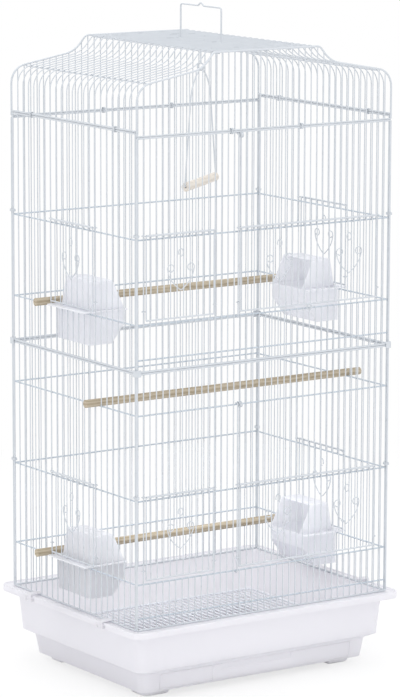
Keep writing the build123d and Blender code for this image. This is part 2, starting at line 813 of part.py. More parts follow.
# Roof, handle and swing
gable = make_gable()
write("roof_front_gable", gable)
write("roof_back_gable", on_side(gable, "back"))
write("roof_wires", make_roof_wires())
write("roof_cross_wires", *make_roof_cross_wires())
write("roof_clips", *make_roof_clips())
write("carry_handle", make_handle())
write("swing_hanger", make_swing_hanger())
write("swing_bail", make_swing_bail())
write("swing_dowel", make_swing_dowel())

# Base, tray, floor and latches
write("base_shell", make_base())
write("feet", *make_feet())
write("slide_out_tray", make_tray())
write("tray_surround", make_tray_surround())
write("wire_floor", *make_wire_floor())
for side, name in ((-1, "left"), (1, "right")):
    for y, place in zip(latch_places(), ("front", "back")):
        write(f"latch_{name}_{place}", make_latch(side, y))

# Perches: two on the sill wires towards the back, one on the brace wires towards the front
perch_y = side_column(side_gaps / 2 + perch_gap_from_centre)
write("perch_lower", make_perch(seat_z + sill_rise, perch_y))
write("perch_middle", make_perch(seat_z + brace_rise, -perch_y))
write("perch_upper", make_perch(junction_z + sill_rise, perch_y))
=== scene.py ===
"""Visual model of a tall wire bird cage on a moulded base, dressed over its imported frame."""

import json
import logging
import math
from dataclasses import dataclass
from enum import Enum
from typing import Any, Iterable, Sequence

import bmesh
import bpy
from mathutils import Matrix, Vector

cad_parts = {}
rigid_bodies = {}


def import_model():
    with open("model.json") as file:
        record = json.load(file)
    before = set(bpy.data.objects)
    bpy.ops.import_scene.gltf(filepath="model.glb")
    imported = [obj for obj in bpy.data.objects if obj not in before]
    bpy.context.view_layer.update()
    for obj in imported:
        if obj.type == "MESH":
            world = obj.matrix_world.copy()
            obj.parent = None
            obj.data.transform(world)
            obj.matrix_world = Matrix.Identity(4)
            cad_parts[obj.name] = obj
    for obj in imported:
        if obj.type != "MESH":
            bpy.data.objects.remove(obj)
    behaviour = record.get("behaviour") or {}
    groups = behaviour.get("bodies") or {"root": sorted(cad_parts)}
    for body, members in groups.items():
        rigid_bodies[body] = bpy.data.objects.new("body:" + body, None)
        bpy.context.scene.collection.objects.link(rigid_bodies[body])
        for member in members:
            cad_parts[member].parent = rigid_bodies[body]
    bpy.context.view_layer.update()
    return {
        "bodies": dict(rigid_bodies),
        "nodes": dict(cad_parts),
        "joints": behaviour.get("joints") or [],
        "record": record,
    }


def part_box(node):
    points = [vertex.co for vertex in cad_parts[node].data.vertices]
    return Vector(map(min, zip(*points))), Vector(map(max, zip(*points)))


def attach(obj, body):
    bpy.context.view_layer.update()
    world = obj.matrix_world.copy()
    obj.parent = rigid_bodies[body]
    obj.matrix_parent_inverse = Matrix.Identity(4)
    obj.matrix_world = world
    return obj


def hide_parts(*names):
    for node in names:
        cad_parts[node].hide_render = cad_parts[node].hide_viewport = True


log = logging.getLogger("bird_cage")

WINDING_BEND = 0.0012
Colour = tuple[float, float, float]


class Side(Enum):
    """A wall of the cage, with the turn about Z that brings a front wall there."""

    FRONT = 0
    RIGHT = 90
    BACK = 180
    LEFT = -90

    @property
    def turn(self) -> Matrix:
        """The rotation from the front wall to this one."""
        return Matrix.Rotation(math.radians(self.value), 4, "Z")


class Section(Enum):
    """One of the two wire storeys."""

    LOWER = "lower"
    UPPER = "upper"


@dataclass(frozen=True)
class CageSizes:
    """Lengths of the wire body in metres; uprights are drawn slimmer than the part's fill wires."""

    width: float = 0.448
    depth: float = 0.341
    seat: float = 0.110
    junction: float = 0.486
    eaves: float = 0.8285
    gable_drop: float = 0.007
    front_gaps: int = 40
    side_gaps: int = 22
    fill: float = 0.0020
    upright: float = 0.0017
    frame: float = 0.0030
    cross: float = 0.0024
    toe_rise: float = 0.018
    sill_rise: float = 0.068
    lintel_rise: float = 0.190
    brace_rise: float = 0.314
    plateau_rise: float = 0.1065
    sink: float = 0.0001
    door_gap: float = 0.0004
    rod_shift: float = 0.0054

    @property
    def front_plane(self) -> float:
        """Distance of the front wall's middle plane from the origin."""
        return self.depth / 2 - self.frame / 2

    @property
    def side_plane(self) -> float:
        """Distance of an end wall's middle plane from the origin."""
        return self.width / 2 - self.frame / 2

    @property
    def side_span(self) -> float:
        """Width of an end wall, which fits between the front and the back."""
        return self.depth - 2 * self.frame

    @property
    def plateau(self) -> float:
        """Height of the roof wires' middle line on the flat top."""
        return self.eaves + self.plateau_rise

    def foot(self, section: Section) -> float:
        """Height of a storey's bottom."""
        return self.seat if section is Section.LOWER else self.junction

    def head(self, section: Section, side: Side = Side.LEFT) -> float:
        """Height of a wall's top; the front and back end lower than the ends under the roof."""
        if section is Section.LOWER:
            return self.junction
        return self.eaves - (self.gable_drop if side in (Side.FRONT, Side.BACK) else 0.0)

    def span(self, side: Side) -> float:
        """Width of a wall."""
        return self.width if side in (Side.FRONT, Side.BACK) else self.side_span

    def gaps(self, side: Side) -> int:
        """Gaps between the upright wires of a wall."""
        return self.front_gaps if side in (Side.FRONT, Side.BACK) else self.side_gaps

    def plane(self, side: Side) -> float:
        """Distance of a wall's middle plane from the origin."""
        return self.front_plane if side in (Side.FRONT, Side.BACK) else self.side_plane

    def column(self, side: Side, index: float) -> float:
        """Place of an upright wire along a wall.

        Args:
            side: the wall.
            index: number of the wire, counted from the left frame wire.

        Returns:
            Its distance from the middle of the wall, in metres.
        """
        reach = self.span(side) - self.frame
        return -reach / 2 + reach * index / self.gaps(side)


CAGE = CageSizes()


class Link:
    """A socket of a node tree; sums and products of sockets become Math nodes."""

    def __init__(self, graph: "Graph", raw: bpy.types.NodeSocket) -> None:
        """Keep the tree and the socket."""
        self.graph = graph
        self.raw = raw

    def output(self, name: str) -> "Link":
        """Another output of the same node."""
        return Link(self.graph, self.raw.node.outputs[name])

    def _maths(self, operation: str, left: Any, right: Any) -> "Link":
        """Add one Math node."""
        return self.graph.node("ShaderNodeMath", {"operation": operation}, {0: left, 1: right})

    def __add__(self, other: Any) -> "Link":
        """Sum."""
        return self._maths("ADD", self, other)

    def __mul__(self, other: Any) -> "Link":
        """Product."""
        return self._maths("MULTIPLY", self, other)

    __radd__ = __add__
    __rmul__ = __mul__


class Graph:
    """A node tree with one method that makes any node."""

    def __init__(self, tree: bpy.types.NodeTree) -> None:
        """Start from an empty tree."""
        self.tree = tree
        tree.nodes.clear()

    def node(
        self,
        kind: str,
        settings: dict[str, Any] | None = None,
        inputs: dict[Any, Any] | None = None,
    ) -> Link:
        """Make a node.

        Args:
            kind: the node's type.
            settings: its properties, and "stops" for a colour ramp, set first.
            inputs: a value or a link for each socket.

        Returns:
            A link to its first output, or to the node's first input where it has no output.
        """
        made = self.tree.nodes.new(kind)
        for name, value in (settings or {}).items():
            if name == "stops":
                ramp = made.color_ramp
                while len(ramp.elements) < len(value):
                    ramp.elements.new(0.5)
                for element, (position, colour) in zip(ramp.elements, value):
                    element.position = position
                    element.color = (*colour, 1.0)
            else:
                setattr(made, name, value)
        for key, value in (inputs or {}).items():
            socket = made.inputs[key]
            if isinstance(value, Link):
                self.tree.links.new(value.raw, socket)
            else:
                socket.default_value = value
        return Link(self, made.outputs[0] if made.outputs else made.inputs[0])


def shader_graph(name: str) -> tuple[bpy.types.Material, Graph]:
    """Make an empty node material."""
    material = bpy.data.materials.new(name)
    material.use_nodes = True
    return material, Graph(material.node_tree)


def mottle(graph: Graph, place: Link, scale: float, detail: float = 3.0) -> Link:
    """Smooth noise between 0 and 1.

    Args:
        graph: the material's tree.
        place: the coordinates that the noise follows.
        scale: cells per metre.
        detail: octaves.

    Returns:
        The noise's value.
    """
    return graph.node(
        "ShaderNodeTexNoise", None, {"Vector": place, "Scale": scale, "Detail": detail, "Roughness": 0.55}
    )


def tinted(graph: Graph, mask: Any, low: Colour, high: Colour) -> Link:
    """Blend two colours by a mask."""
    mix = graph.node(
        "ShaderNodeMix", {"data_type": "RGBA"}, {0: mask, 6: (*low, 1.0), 7: (*high, 1.0)}
    )
    return Link(graph, mix.raw.node.outputs[2])


def relief(graph: Graph, height: Link, strength: float, depth: float) -> Link:
    """A normal bumped by a height."""
    return graph.node("ShaderNodeBump", None, {"Strength": strength, "Distance": depth, "Height": height})


def scaled(graph: Graph, place: Link, scale: Colour) -> Link:
    """Stretch coordinates along their axes."""
    return graph.node("ShaderNodeMapping", None, {"Vector": place, "Scale": scale})


@dataclass(frozen=True)
class CoatedWire:
    """Dipped white enamel over steel wire: thin pooled ripples and soft patches of gloss."""

    name: str = "white_enamel_wire"
    slot: str = "white_wire"
    pale: Colour = (0.62, 0.65, 0.69)
    shade: Colour = (0.53, 0.565, 0.61)
    ripple: float = 1400.0
    patch: float = 55.0
    gloss: tuple[float, float] = (0.22, 0.16)
    bump: float = 0.12

    def make(self) -> bpy.types.Material:
        """Build the material."""
        material, graph = shader_graph(self.name)
        place = graph.node("ShaderNodeTexCoord").output("Object")
        patches = mottle(graph, place, self.patch)
        ripples = mottle(graph, place, self.ripple, 1.0)
        colour = tinted(graph, patches, self.shade, self.pale)
        bump = relief(graph, ripples, self.bump, 0.0002)
        shader = graph.node(
            "ShaderNodeBsdfPrincipled",
            None,
            {
                "Base Color": colour,
                "Roughness": patches * self.gloss[1] + self.gloss[0],
                "Normal": bump,
                "Coat Weight": 0.35,
                "Coat Roughness": 0.12,
                "IOR": 1.5,
            },
        )
        graph.node("ShaderNodeOutputMaterial", None, {"Surface": shader})
        return material


@dataclass(frozen=True)
class MouldedPlastic:
    """Injection-moulded plastic: faint flow clouds, a fine mould grain and slightly worn gloss."""

    name: str
    slot: str
    pale: Colour
    shade: Colour
    roughness: float = 0.3
    grain: float = 900.0
    grain_depth: float = 0.08
    through: float = 0.0
    flow: Colour = (1.0, 1.0, 2.6)
    cloud: float = 9.0
    scuff: float = 70.0
    wear: float = 0.18

    def make(self) -> bpy.types.Material:
        """Build the material."""
        material, graph = shader_graph(self.name)
        place = graph.node("ShaderNodeTexCoord").output("Object")
        clouds = mottle(graph, scaled(graph, place, self.flow), self.cloud, 4.0)
        grain = mottle(graph, place, self.grain, 2.0)
        scuffs = mottle(graph, place, self.scuff, 6.0)
        bump = relief(graph, grain, self.grain_depth, 0.0002)
        shader = graph.node(
            "ShaderNodeBsdfPrincipled",
            None,
            {
                "Base Color": tinted(graph, clouds, self.shade, self.pale),
                "Roughness": scuffs * self.wear + (self.roughness - self.wear / 3),
                "Normal": bump,
                "Coat Weight": 0.2,
                "Coat Roughness": 0.2,
                "IOR": 1.49,
            },
        )
        leak = graph.node("ShaderNodeBsdfTranslucent", None, {"Color": (*self.pale, 1.0)})
        wall = graph.node("ShaderNodeMixShader", None, {0: self.through, 1: shader, 2: leak})
        graph.node("ShaderNodeOutputMaterial", None, {"Surface": wall})
        return material


@dataclass(frozen=True)
class TurnedWood:
    """Bare dowel wood with long grain, soft growth bands and open pores."""

    name: str
    slot: str
    pale: Colour
    dark: Colour
    turn_deg: float = 0.0
    roughness: float = 0.62
    fibre: float = 1500.0
    band: float = 55.0
    blotch: float = 60.0

    def make(self) -> bpy.types.Material:
        """Build the material."""
        material, graph = shader_graph(self.name)
        place = graph.node("ShaderNodeTexCoord").output("Object")
        along = graph.node(
            "ShaderNodeMapping", None, {"Vector": place, "Rotation": (0.0, 0.0, math.radians(-self.turn_deg))}
        )
        fibres = mottle(graph, scaled(graph, along, (0.06, 1.0, 1.0)), self.fibre, 4.0)
        bands = graph.node(
            "ShaderNodeTexWave",
            {"wave_type": "BANDS", "bands_direction": "Z"},
            {
                "Vector": scaled(graph, along, (0.12, 1.0, 1.0)),
                "Scale": self.band,
                "Distortion": 6.0,
                "Detail": 3.0,
                "Detail Scale": 1.4,
            },
        ).output("Fac")
        blotches = mottle(graph, scaled(graph, along, (0.3, 1.0, 1.0)), self.blotch)
        grain = fibres * 0.5 + bands * 0.25 + blotches * 0.25
        tones = graph.node(
            "ShaderNodeValToRGB", {"stops": ((0.28, self.dark), (0.66, self.pale))}, {"Fac": grain}
        )
        bump = relief(graph, fibres, 0.3, 0.0003)
        shader = graph.node(
            "ShaderNodeBsdfPrincipled",
            None,
            {
                "Base Color": tones,
                "Roughness": self.roughness + fibres * 0.12,
                "Normal": bump,
                "Specular IOR Level": 0.3,
            },
        )
        graph.node("ShaderNodeOutputMaterial", None, {"Surface": shader})
        return material


WIRE = CoatedWire()
# Painted shade: the level wires get a darker copy of the same white enamel, so that they read darker than the
# uprights.
CROSS_WIRE_PAINTED_SHADE = CoatedWire("cross_enamel_wire", pale=(0.54, 0.595, 0.66), shade=(0.46, 0.52, 0.585))
# Painted light: the wire floor gets a paler copy of the same white enamel, which brightens it where it lies
# in the base's shade.
FLOOR_WIRE_PAINTED_LIGHT = CoatedWire("floor_enamel_wire", pale=(0.86, 0.885, 0.93), shade=(0.78, 0.81, 0.865))
BASE_PLASTIC = MouldedPlastic(
    "base_plastic", "base_plastic", (0.92, 0.915, 0.94), (0.905, 0.90, 0.926), through=0.52
)
FEEDER_PLASTIC = MouldedPlastic(
    "feeder_plastic", "feeder_plastic", (0.95, 0.955, 0.98), (0.93, 0.935, 0.965), 0.26, 600.0, 0.05, 0.5
)
FOOT_PLASTIC = MouldedPlastic(
    "foot_plastic", "foot_plastic", (0.87, 0.865, 0.90), (0.83, 0.825, 0.86), 0.5, 1500.0, 0.2
)
PINE = TurnedWood("pine_dowel", "pine", (0.52, 0.45, 0.345), (0.32, 0.26, 0.18))
BEECH = TurnedWood("beech_dowel", "pale_wood", (0.78, 0.73, 0.67), (0.68, 0.62, 0.55), 37.0)
FINISHES = (WIRE, CROSS_WIRE_PAINTED_SHADE, FLOOR_WIRE_PAINTED_LIGHT, BASE_PLASTIC, FEEDER_PLASTIC, FOOT_PLASTIC, PINE, BEECH)


@dataclass(frozen=True)
class Run:
    """The middle line of one bent wire."""

    points: tuple[Vector, ...]
    radius: float
    closed: bool = False


def straight(start: Sequence[float], end: Sequence[float], radius: float) -> Run:
    """A straight wire between two points."""
    return Run((Vector(start), Vector(end)), radius)


def rounded(
    points: Iterable[Sequence[float]], bend: float, closed: bool = False, steps: int = 5
) -> list[Vector]:
    """Round the corners of a line.

    Args:
        points: its corners.
        bend: bend radius in metres, made smaller where a side is short.
        closed: whether the line is a loop.
        steps: spans in each bend.

    Returns:
        The points of the rounded line.
    """
    corners = [Vector(p) for p in points]
    count = len(corners)
    made: list[Vector] = []
    for i, corner in enumerate(corners):
        if not closed and i in (0, count - 1):
            made.append(corner)
            continue
        back, ahead = corners[i - 1] - corner, corners[(i + 1) % count] - corner
        reach = min(back.length, ahead.length) * 0.49
        half_angle = back.angle(ahead) / 2
        trim = min(bend / max(math.tan(half_angle), 1e-6), reach)
        first, last = corner + back.normalized() * trim, corner + ahead.normalized() * trim
        for step in range(steps + 1):
            t = step / steps
            made.append(first * (1 - t) ** 2 + corner * 2 * t * (1 - t) + last * t**2)
    return made


def ring(centre: Sequence[float], radius: float, wire: float, axis: str = "Z", steps: int = 20) -> Run:
    """A closed ring of wire round an axis through centre."""
    turn = {
        "Z": Matrix.Identity(3),
        "Y": Matrix.Rotation(math.pi / 2, 3, "X"),
        "X": Matrix.Rotation(math.pi / 2, 3, "Y"),
    }
    middle = Vector(centre)
    points = []
    for step in range(steps):
        a = 2 * math.pi * step / steps
        points.append(middle + turn[axis] @ Vector((radius * math.cos(a), radius * math.sin(a), 0.0)))
    return Run(tuple(points), wire, True)


def carry_round(
    line: list[tuple[float, float]], radius: float, start: float, end: float, steps: int, way: int
) -> None:
    """Carry a flat line on round an arc.

    Args:
        line: its points so far, as place along and height, which the arc's points join.
        radius: radius of the arc.
        start: slope where the arc starts, in radians.
        end: slope where it ends.
        steps: points on the arc.
        way: 1 to turn up, -1 to turn down.
    """
    x, z = line[-1]
    side = way * radius
    for step in range(1, steps + 1):
        a = start + (end - start) * step / steps
        line.append((x + side * (math.sin(a) - math.sin(start)), z + side * (math.cos(start) - math.cos(a))))


def windings(
    centre: Sequence[float], across: Sequence[float], up: Sequence[float], along: Sequence[float], wire: float
) -> list[Run]:
    """Closed turns of thin wire wound round a bar.

    Args:
        centre: the middle of the turns.
        across: half of a turn's width.
        up: half of its height.
        along: from one turn to the next.
        wire: wire radius.

    Returns:
        Three rounded rectangles, side by side.
    """
    middle, wide, high, step = (Vector(v) for v in (centre, across, up, along))
    made = []
    for turn in (-1, 0, 1):
        place = middle + step * turn
        corners = (place - wide - high, place + wide - high, place + wide + high, place - wide + high)
        made.append(Run(tuple(rounded(corners, WINDING_BEND, True, 3)), wire, True))
    return made


def evaluated(mesh: bpy.types.Mesh, kind: str, settings: dict[str, Any]) -> bpy.types.Mesh:
    """Run one modifier on a mesh, which is used up.

    Args:
        mesh: the mesh.
        kind: the modifier's type.
        settings: its properties and the inputs of its node tree.

    Returns:
        The result as a plain mesh.
    """
    carrier = bpy.data.objects.new("carrier", mesh)
    bpy.context.collection.objects.link(carrier)
    modifier = carrier.modifiers.new("shape", kind)
    for name, value in settings.items():
        if name.startswith("Socket_"):
            modifier[name] = value
        else:
            setattr(modifier, name, value)
    graph = bpy.context.evaluated_depsgraph_get()
    made = bpy.data.meshes.new_from_object(carrier.evaluated_get(graph), depsgraph=graph)
    bpy.data.objects.remove(carrier)
    bpy.data.meshes.remove(mesh)
    return made


class WireMill:
    """Turns rows and bends of wire into round tubes with two Geometry Nodes trees."""

    SIDES = 10

    def __init__(self, material: bpy.types.Material) -> None:
        """Build both trees."""
        self.material = material
        self.row_tree = self._row_tree()
        self.bend_tree = self._bend_tree()

    @staticmethod
    def _start(name: str, wanted: Sequence[tuple[str, str]]) -> tuple[bpy.types.NodeTree, Graph, Link]:
        """Open a tree that takes the wanted inputs and a wire's radius, sides and finish."""
        tree = bpy.data.node_groups.new(name, "GeometryNodeTree")
        graph = Graph(tree)
        tree.interface.new_socket("Geometry", in_out="OUTPUT", socket_type="NodeSocketGeometry")
        for label, kind in (*wanted, ("Radius", "Float"), ("Sides", "Int"), ("Finish", "Material")):
            tree.interface.new_socket(label, in_out="INPUT", socket_type=f"NodeSocket{kind}")
        return tree, graph, graph.node("NodeGroupInput")

    @staticmethod
    def _tube(graph: Graph, curve: Link, inputs: Link) -> Link:
        """Sweep a wire's section along a curve."""
        section = {"Resolution": inputs.output("Sides"), "Radius": inputs.output("Radius")}
        circle = graph.node("GeometryNodeCurvePrimitiveCircle", None, section)
        return graph.node(
            "GeometryNodeCurveToMesh", None, {"Curve": curve, "Profile Curve": circle, "Fill Caps": True}
        )

    @staticmethod
    def _close(graph: Graph, tube: Link, inputs: Link) -> None:
        """End a tree with plain, smooth, dressed geometry."""
        plain = graph.node("GeometryNodeRealizeInstances", None, {"Geometry": tube})
        smooth = graph.node("GeometryNodeSetShadeSmooth", None, {"Geometry": plain})
        dressed = graph.node(
            "GeometryNodeSetMaterial", None, {"Geometry": smooth, "Material": inputs.output("Finish")}
        )
        graph.node("NodeGroupOutput", None, {"Geometry": dressed})

    def _row_tree(self) -> bpy.types.NodeTree:
        """A row of equal straight wires."""
        tree, graph, inputs = self._start(
            "wire_row", (("Count", "Int"), ("First", "Vector"), ("Step", "Vector"), ("Rise", "Vector"))
        )
        posts = graph.node(
            "GeometryNodeMeshLine",
            {"mode": "OFFSET", "count_mode": "TOTAL"},
            {
                "Count": inputs.output("Count"),
                "Start Location": inputs.output("First"),
                "Offset": inputs.output("Step"),
            },
        )
        line = graph.node("GeometryNodeCurvePrimitiveLine", None, {"End": inputs.output("Rise")})
        tube = self._tube(graph, line, inputs)
        placed = graph.node("GeometryNodeInstanceOnPoints", None, {"Points": posts, "Instance": tube})
        self._close(graph, placed, inputs)
        return tree

    def _bend_tree(self) -> bpy.types.NodeTree:
        """Tubes along the edges of a mesh."""
        tree, graph, inputs = self._start("wire_bends", (("Lines", "Geometry"),))
        curve = graph.node("GeometryNodeMeshToCurve", None, {"Mesh": inputs.output("Lines")})
        self._close(graph, self._tube(graph, curve, inputs), inputs)
        return tree

    def _grown(
        self, tree: bpy.types.NodeTree, start: bpy.types.Mesh, values: dict[str, Any]
    ) -> bpy.types.Mesh:
        """Run a tree on a mesh."""
        values = values | {"Sides": self.SIDES, "Finish": self.material}
        taken = [i for i in tree.interface.items_tree if i.in_out == "INPUT" and i.name in values]
        return evaluated(start, "NODES", {"node_group": tree} | {i.identifier: values[i.name] for i in taken})

    def row(
        self, count: int, first: Sequence[float], step: Sequence[float], rise: Sequence[float], radius: float
    ) -> bpy.types.Mesh:
        """Draw a row of straight wires.

        Args:
            count: number of wires.
            first: foot of the first wire.
            step: from one wire's foot to the next.
            rise: from a wire's foot to its head.
            radius: wire radius.

        Returns:
            One mesh of all the wires.
        """
        values = {
            "Count": count,
            "First": tuple(first),
            "Step": tuple(step),
            "Rise": tuple(rise),
            "Radius": radius,
        }
        return self._grown(self.row_tree, bpy.data.meshes.new("row"), values)

    def bends(self, runs: Iterable[Run]) -> list[bpy.types.Mesh]:
        """Draw bent wires, one mesh for each wire radius."""
        by_radius: dict[float, list[Run]] = {}
        for run in runs:
            by_radius.setdefault(run.radius, []).append(run)
        meshes = []
        for radius, group in by_radius.items():
            points: list[Vector] = []
            edges: list[tuple[int, int]] = []
            for run in group:
                base, count = len(points), len(run.points)
                points.extend(run.points)
                edges.extend((base + i, base + i + 1) for i in range(count - 1))
                if run.closed:
                    edges.append((base + count - 1, base))
            lines = bpy.data.meshes.new("lines")
            lines.from_pydata(points, edges, [])
            meshes.append(self._grown(self.bend_tree, lines, {"Radius": radius}))
        return meshes


class Workshop:
    """Makes finished pieces: merges meshes, dresses them and ties them to the frame."""

    def __init__(self, frame: dict[str, Any]) -> None:
        """Keep the frame and build every finish once."""
        self.frame = frame
        self.materials = {finish.name: finish.make() for finish in FINISHES}
        self.mill = WireMill(self.materials[WIRE.name])

    def piece(
        self,
        name: str,
        meshes: Iterable[bpy.types.Mesh],
        finish: Any,
        body: str,
        nodes: Sequence[str],
        turn: Matrix | None = None,
    ) -> bpy.types.Object:
        """Merge meshes into one piece that rides on a body and stands for CAD nodes.

        Args:
            name: the piece's name.
            meshes: plain meshes, used up here.
            finish: the finish of the whole piece.
            body: the CAD body that carries it.
            nodes: the CAD nodes that it replaces.
            turn: a placement for all the meshes.

        Returns:
            The finished object.
        """
        work = bmesh.new()
        for mesh in meshes:
            work.from_mesh(mesh)
            bpy.data.meshes.remove(mesh)
        if turn is not None:
            work.transform(turn)
        for face in work.faces:
            face.material_index = 0
        data = bpy.data.meshes.new(name)
        work.to_mesh(data)
        work.free()
        data.materials.clear()
        data.materials.append(self.materials[finish.name])
        data.set_sharp_from_angle(angle=math.radians(40))
        made = bpy.data.objects.new(name, data)
        bpy.context.collection.objects.link(made)
        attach(made, body)
        if nodes:
            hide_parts(*nodes)
        log.info("%s: %d faces on %s", name, len(data.polygons), body)
        return made

    def moulded(
        self, node: str, body: str, finish: Any, edge: float, segments: int = 3, angle_deg: float = 32.0
    ) -> bpy.types.Object:
        """Copy a CAD node, merge its loose triangles and round its edges.

        Args:
            node: the CAD node.
            body: the body that carries it.
            finish: its finish.
            edge: radius of the rounded edges.
            segments: spans across each rounded edge.
            angle_deg: edges sharper than this are rounded.

        Returns:
            The finished object.
        """
        work = bmesh.new()
        work.from_mesh(self.frame["nodes"][node].data)
        bmesh.ops.remove_doubles(work, verts=work.verts, dist=1e-6)
        bmesh.ops.dissolve_limit(
            work, angle_limit=math.radians(0.6), verts=work.verts, edges=work.edges, delimit=set()
        )
        solid = bpy.data.meshes.new(f"{node}_solid")
        work.to_mesh(solid)
        work.free()
        bevel = {
            "width": edge,
            "segments": segments,
            "limit_method": "ANGLE",
            "angle_limit": math.radians(angle_deg),
            "miter_outer": "MITER_ARC",
            "use_clamp_overlap": True,
        }
        mesh = evaluated(solid, "BEVEL", bevel)
        for polygon in mesh.polygons:
            polygon.use_smooth = True
        return self.piece(f"{node}_moulding", [mesh], finish, body, [node])


@dataclass
class WallPanel:
    """One welded wall: a frame wire filled with upright wires, cut away at its doorways."""

    section: Section
    side: Side
    doorways: tuple[tuple[int, int], ...] = ()
    corner: float = 0.0022

    def groups(self) -> list[tuple[int, int, float, float]]:
        """Rows of equal upright wires, as first and last number, foot and head."""
        foot, head = CAGE.foot(self.section), CAGE.head(self.section, self.side)
        low, high = foot + CAGE.frame / 2, head - CAGE.frame / 2
        sill, lintel = foot + CAGE.sill_rise + CAGE.cross / 2, foot + CAGE.lintel_rise - CAGE.cross / 2
        made = []
        start = 1
        for first, last in sorted(self.doorways):
            made.append((start, first, low, high))
            made.append((first + 1, last - 1, low, sill))
            made.append((first + 1, last - 1, lintel, high))
            start = last
        made.append((start, CAGE.gaps(self.side) - 1, low, high))
        return made

    def build(self, shop: Workshop) -> bpy.types.Object:
        """Make the wall."""
        half, plane = CAGE.span(self.side) / 2 - CAGE.frame / 2, CAGE.plane(self.side)
        foot = CAGE.foot(self.section) + CAGE.frame / 2
        head = CAGE.head(self.section, self.side) - CAGE.frame / 2
        corners = [(-half, -plane, foot), (half, -plane, foot), (half, -plane, head), (-half, -plane, head)]
        edge = Run(tuple(rounded(corners, self.corner, True)), CAGE.frame / 2, True)
        meshes = shop.mill.bends([edge])
        pitch = CAGE.column(self.side, 1) - CAGE.column(self.side, 0)
        for first, last, low, high in self.groups():
            meshes.append(
                shop.mill.row(
                    last - first + 1,
                    (CAGE.column(self.side, first), -plane, low),
                    (pitch, 0.0, 0.0),
                    (0.0, 0.0, high - low),
                    CAGE.upright / 2,
                )
            )
        name = f"{self.section.value}_{self.side.name.lower()}"
        return shop.piece(f"{name}_wires", meshes, WIRE, "cage", [f"{name}_panel"], self.side.turn)


@dataclass
class LevelWires:
    """The level wires welded inside the walls of one storey."""

    section: Section

    def build(self, shop: Workshop) -> bpy.types.Object:
        """Make the wires of all four walls."""
        rises = [CAGE.sill_rise, CAGE.lintel_rise]
        if self.section is Section.LOWER:
            rises.append(CAGE.brace_rise)
        meshes = []
        for side in Side:
            levels = rises + ([CAGE.toe_rise] if side is Side.FRONT else [])
            half, foot = CAGE.span(side) / 2 - CAGE.frame, CAGE.foot(self.section)
            y = -CAGE.plane(side) + CAGE.upright / 2 + CAGE.cross / 2 - CAGE.sink
            runs = [straight((-half, y, foot + z), (half, y, foot + z), CAGE.cross / 2) for z in levels]
            for mesh in shop.mill.bends(runs):
                mesh.transform(side.turn)
                meshes.append(mesh)
        name = f"{self.section.value}_cross_wires"
        # The level wires take the darker copy of the wire enamel, which is painted shade.
        return shop.piece(f"{name}_round", meshes, CROSS_WIRE_PAINTED_SHADE, "cage", [name])


